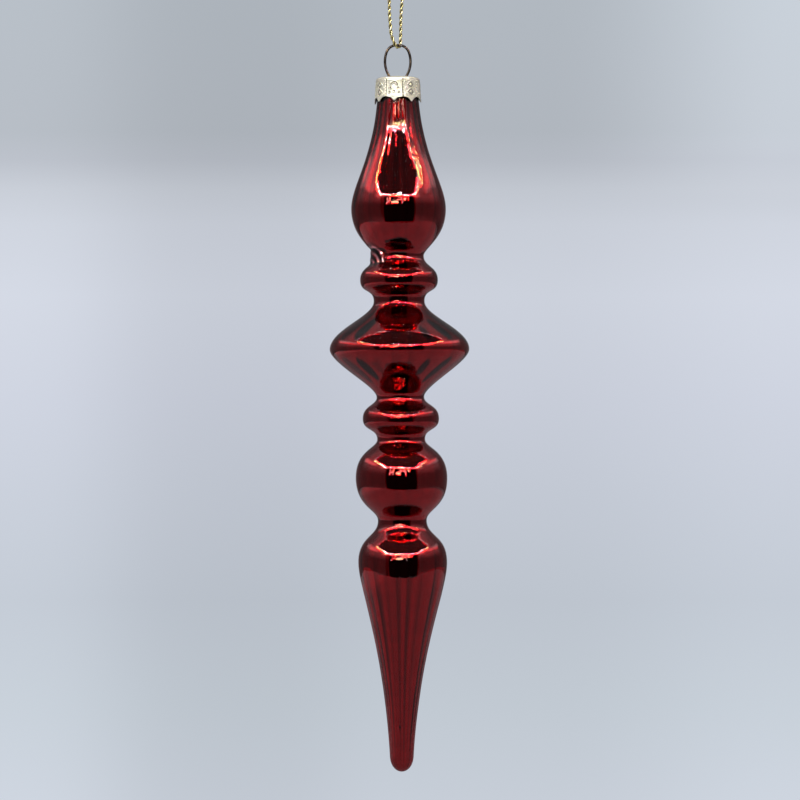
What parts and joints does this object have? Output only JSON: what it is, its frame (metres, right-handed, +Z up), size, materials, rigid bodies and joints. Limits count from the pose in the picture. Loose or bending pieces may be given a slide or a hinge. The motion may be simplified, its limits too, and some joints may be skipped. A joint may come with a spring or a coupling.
{
  "type": "icicle hanging ornament",
  "caption": "Long blown-glass icicle drop with bulbs, rings and a wide disc, mirrored inside, with a scalloped metal cap, a bent wire hanging ring and a cord loop.",
  "frame": {"origin": "hang point: the underside of the top of the cord loop, where a hook or a twig carries the ornament", "axes": "+Z up, along the ornament's long axis; the wire ring lies in the XZ plane and the front is -Y"},
  "size_m": [0.0358, 0.0358, 0.2447],
  "materials": {
    "clear_glass": "glossy, clear, blown",
    "red_mirror": "silvered and lacquered deep red, seen through the glass",
    "cap_metal": "bright pale gold, stamped relief",
    "dark_wire": "dark bronze spring wire",
    "gold_cord": "twisted metallic yarn"
  },
  "bodies": {
    "cord": {"cord_loop": "gold_cord"},
    "wire": {"wire_hanger": "dark_wire"},
    "cap": {"cap": "cap_metal"},
    "glass": {"glass_body": "clear_glass", "mirror_lining": "red_mirror"}
  },
  "joints": [
    {"name": "wire_swing", "type": "hinge", "parent": "cord", "child": "wire", "pos_m": [0, 0, -0.0514], "axis": [1, 0, 0], "range_deg": [-120, 120]},
    {"name": "cap_pull", "type": "slide", "parent": "wire", "child": "cap", "axis": [0, 0, -1], "range_m": [0, 0.003]},
    {"name": "glass_lift_off", "type": "slide", "parent": "cap", "child": "glass", "axis": [0, 0, -1], "range_m": [0, 0.022]}
  ]
}
